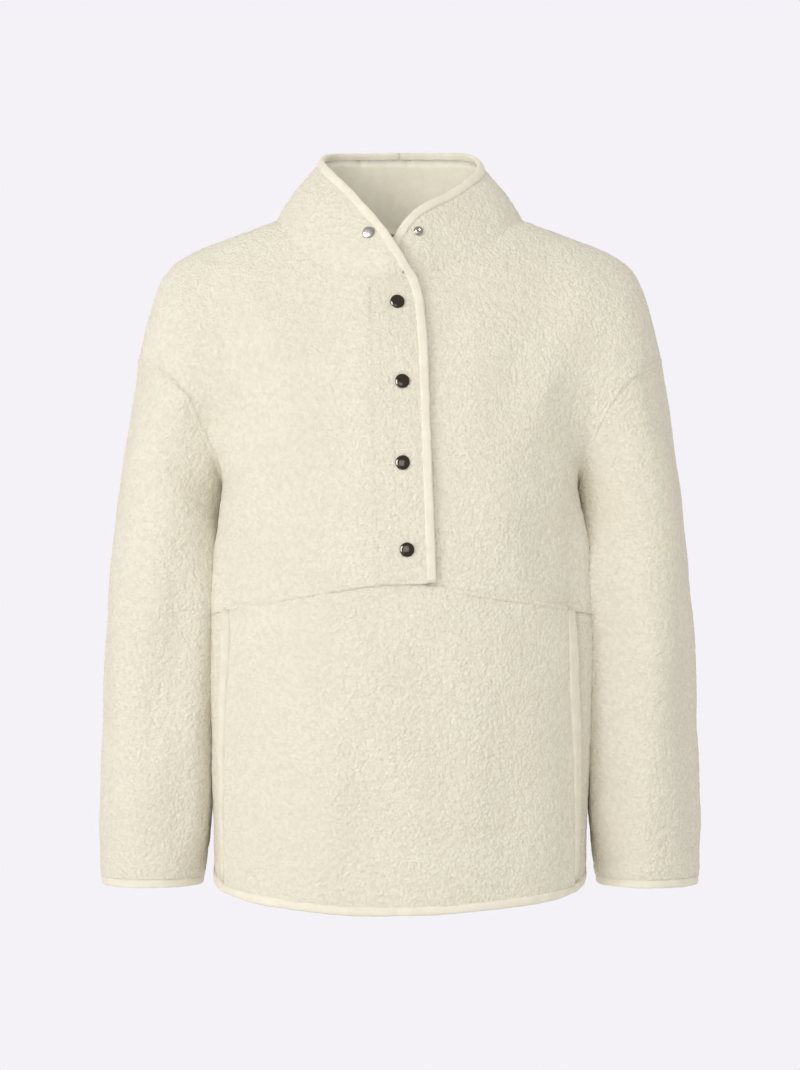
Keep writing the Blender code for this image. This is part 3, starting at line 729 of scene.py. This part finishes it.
def knitPiece(name, node):
    look = bindingSettings
    shape = bmesh.new()
    shape.from_mesh(nodes[node].data)
    bmesh.ops.remove_doubles(shape, verts=shape.verts, dist=shapeSettings["weld"])
    asQuads(shape, look["endAngle"])
    mesh = smoothed(shape, name, look["levels"])
    if node.startswith("pocket"):
        letOutBody(mesh.vertices)
    if node.startswith("edge"):  # the two sides' bindings meet at the collar's back
        for vertex in mesh.vertices:
            if vertex.co.z > look["joinLowest"] and abs(vertex.co.x) < look["joinWidth"]:
                vertex.co.x = 0
    mesh = puckered(mesh, 0)
    finish = weltKnit if node.startswith("pocket") else bindingKnit
    piece = addPiece(name, mesh, node, (finish,))
    print(name, "made:", len(mesh.polygons), "faces")
    return piece


def liningPiece(name, node):
    shape = sidesOf(node, trunkMiddle)
    asQuads(shape, shapeSettings["sharpest"])
    mesh = puckered(smoothed(shape, name, bindingSettings["levels"]), bindingSettings["liningSpread"])
    piece = addPiece(name, mesh, node, (innerKnit, innerKnit, innerKnit))
    print(name, "made:", len(mesh.polygons), "faces")
    return piece


collarLining = liningPiece("collarLining", "collar_facing")
hemBinding = knitPiece("hemBinding", "hem_binding")
cuffBindings = [knitPiece("cuffBinding" + side, "cuff_binding_" + side.lower()) for side in wearerSides]
edgeBindings = [knitPiece("edgeBinding" + side, "edge_binding_" + side.lower()) for side in wearerSides]
pocketBindings = [
    knitPiece("pocketBinding" + side, "pocket_binding_" + side.lower()) for side in wearerSides
]


# The snaps: profiles of radius and height, turned round, where fullHeight is the solid's top
snapSettings = {
    "onPlacket": 4,
    "steps": 48,
    "fullHeight": 0.8,
    "cap": [(0.0, 0.80), (0.22, 0.79), (0.42, 0.76), (0.58, 0.71), (0.72, 0.63), (0.84, 0.52),
            (0.93, 0.38), (0.99, 0.20), (1.0, 0.0), (0.80, 0.0), (0.0, 0.0)],
    "stud": [(0.0, 0.35), (0.30, 0.35), (0.36, 0.75), (0.50, 0.80), (0.58, 0.45), (0.80, 0.42),
             (0.93, 0.55), (1.0, 0.35), (1.0, 0.0), (0.0, 0.0)],
}


def turnedPiece(name, node, profile, metal):
    look = snapSettings
    points = np.array([vertex.co for vertex in nodes[node].data.vertices])
    low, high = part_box(node)
    middle = (np.array(low) + np.array(high)) / 2
    spread = np.linalg.svd(np.unique(points.round(6), axis=0) - middle, full_matrices=False)[2]
    axis = Vector(spread[2])
    if axis.y > 0:
        axis.negate()
    along = (points - middle) @ np.array(axis)
    foot, top = along.min(), along.max()
    across = np.linalg.norm((points - middle) - np.outer(along, np.array(axis)), axis=1).max()
    side = axis.orthogonal().normalized()
    up = axis.cross(side)
    shape = bmesh.new()
    rings = []
    for radius, height in profile:
        centre = Vector(middle) + axis * (foot + (top - foot) * min(1.0, height / look["fullHeight"]))
        if radius == 0:
            rings.append([shape.verts.new(centre)])
            continue
        ring = []
        for step in range(look["steps"]):
            turn = 2 * math.pi * step / look["steps"]
            way = side * math.cos(turn) + up * math.sin(turn)
            ring.append(shape.verts.new(centre + way * across * radius))
        rings.append(ring)
    for first, second in zip(rings[:-1], rings[1:]):
        for step in range(look["steps"]):
            after = (step + 1) % look["steps"]
            if len(first) == 1:
                shape.faces.new((first[0], second[step], second[after]))
            elif len(second) == 1:
                shape.faces.new((first[step], second[0], first[after]))
            else:
                shape.faces.new((first[step], second[step], second[after], first[after]))
    bmesh.ops.recalc_face_normals(shape, faces=shape.faces)
    mesh = bpy.data.meshes.new(name)
    shape.to_mesh(mesh)
    shape.free()
    return addPiece(name, mesh, node, (metal,))


snaps = [
    turnedPiece("snapCap" + str(number), "snap_cap_" + str(number), snapSettings["cap"], darkNickel)
    for number in range(1, snapSettings["onPlacket"] + 1)
]
snaps.append(turnedPiece("snapCapCollar", "snap_cap_collar", snapSettings["cap"], greyNickel))
snaps.append(turnedPiece("snapStudCollar", "snap_stud_collar", snapSettings["stud"], greyNickel))
print("snaps made:", len(snaps))
# Floor and light
stageSettings = {
    "pale": colour(244, 242, 247),
    "floorHeight": -0.74,
    "floorSize": 30.0,
    "sky": colour(246, 244, 242),
    "skyStrength": 0.86,
}

backdrop = Finish("paleStage")
backdropLight = backdrop.make("ShaderNodeEmission", None, {"Color": stageSettings["pale"], "Strength": 1.0})
paleStage = backdrop.close(backdropLight)
floorMesh = bpy.data.meshes.new("stageFloor")
half = stageSettings["floorSize"] / 2
corners = [(-half, -half), (half, -half), (half, half), (-half, half)]
floorMesh.from_pydata([(x, y, stageSettings["floorHeight"]) for x, y in corners], [], [(0, 1, 2, 3)])
floorMesh.materials.append(paleStage)
stageFloor = bpy.data.objects.new("stageFloor", floorMesh)
bpy.context.scene.collection.objects.link(stageFloor)

stageFloor.visible_diffuse = False
stageFloor.visible_glossy = False

# The world shows pale, and lights the cloth more softly than it shows
world = bpy.data.worlds.new("paleWorld")
bpy.context.scene.world = world
world.use_nodes = True
worldTree = world.node_tree
worldTree.nodes.clear()
shownSky = worldTree.nodes.new("ShaderNodeBackground")
shownSky.inputs["Color"].default_value = stageSettings["pale"]
lightingSky = worldTree.nodes.new("ShaderNodeBackground")
lightingSky.inputs["Color"].default_value = stageSettings["sky"]
lightingSky.inputs["Strength"].default_value = stageSettings["skyStrength"]
rays = worldTree.nodes.new("ShaderNodeLightPath")
skies = worldTree.nodes.new("ShaderNodeMixShader")
worldOut = worldTree.nodes.new("ShaderNodeOutputWorld")
worldTree.links.new(rays.outputs["Is Camera Ray"], skies.inputs[0])
worldTree.links.new(lightingSky.outputs[0], skies.inputs[1])
worldTree.links.new(shownSky.outputs[0], skies.inputs[2])
worldTree.links.new(skies.outputs[0], worldOut.inputs["Surface"])

lampAim = Vector((0, 0, -0.32))
lamps = {
    "keyLamp": {"place": (-2.4, -2.2, 0.9), "size": 1.3, "watts": 30},
    "frontLamp": {"place": (-0.3, -3.3, 0.1), "size": 1.4, "watts": 18},
    "lowLamp": {"place": (-1.6, -2.8, -1.2), "size": 1.4, "watts": 8},
    "snapGlint": {"place": (-2.9, -1.9, 0.2), "size": 2.6, "watts": 420},
}
for name, look in lamps.items():
    lampData = bpy.data.lights.new(name, "AREA")
    lampData.size = look["size"]
    lampData.energy = look["watts"]
    lamp = bpy.data.objects.new(name, lampData)
    lamp.location = look["place"]
    aim = lampAim - lamp.location
    lamp.rotation_euler = aim.to_track_quat("-Z", "Y").to_euler()
    lamp.visible_diffuse = name != "snapGlint"  # that lamp shows in the snaps alone
    bpy.context.scene.collection.objects.link(lamp)

bpy.context.scene.view_settings.view_transform = "Standard"
print("stage and light set")
